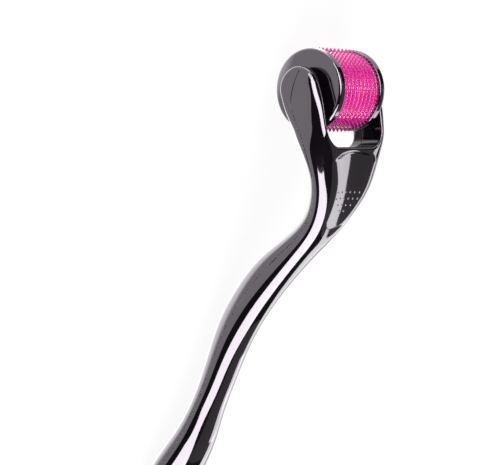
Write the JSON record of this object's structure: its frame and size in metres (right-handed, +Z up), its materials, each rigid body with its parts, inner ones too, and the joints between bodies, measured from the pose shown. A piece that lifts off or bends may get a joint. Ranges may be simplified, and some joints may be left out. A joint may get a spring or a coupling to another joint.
{
  "type": "derma roller",
  "caption": "Hand-held skin needling roller: a ringed needle drum spinning between the arms of a forked, S-curved two-shell handle.",
  "frame": {"origin": "centre of the roller's length and width, on the surface it lies on", "axes": "+X runs from the needle drum to the tail of the handle, +Z is up with the finger rest on top, Y is the drum's axis"},
  "size_m": [0.15, 0.0316, 0.029],
  "materials": {
    "handle_plastic": "glossy injection-moulded ABS, piano black",
    "cap_plastic": "glossy injection-moulded ABS, piano black",
    "ring_plastic": "translucent hot-pink moulded plastic",
    "hub_plastic": "pink moulded plastic",
    "needle_steel": "fine stainless sheet",
    "pin_steel": "ground stainless pin"
  },
  "bodies": {
    "handle": {"front_shell": "handle_plastic", "back_shell": "handle_plastic", "axle_pin": "pin_steel"},
    "drum": {"drum_hub": "hub_plastic", "end_cap_left": "cap_plastic", "end_cap_right": "cap_plastic", "needle_disc_1": "needle_steel", "needle_disc_2": "needle_steel", "needle_disc_3": "needle_steel", "needle_disc_4": "needle_steel", "needle_disc_5": "needle_steel", "needle_disc_6": "needle_steel", "needle_disc_7": "needle_steel", "needle_disc_8": "needle_steel", "needle_disc_9": "needle_steel", "spacer_ring_1": "ring_plastic", "spacer_ring_2": "ring_plastic", "spacer_ring_3": "ring_plastic", "spacer_ring_4": "ring_plastic", "spacer_ring_5": "ring_plastic", "spacer_ring_6": "ring_plastic", "spacer_ring_7": "ring_plastic", "spacer_ring_8": "ring_plastic", "spacer_ring_9": "ring_plastic", "spacer_ring_10": "ring_plastic"}
  },
  "joints": [
    {"name": "drum_spin", "type": "hinge", "parent": "handle", "child": "drum", "pos_m": [-0.06375, 0, 0.01125], "axis": [0, 1, 0], "continuous": true}
  ]
}
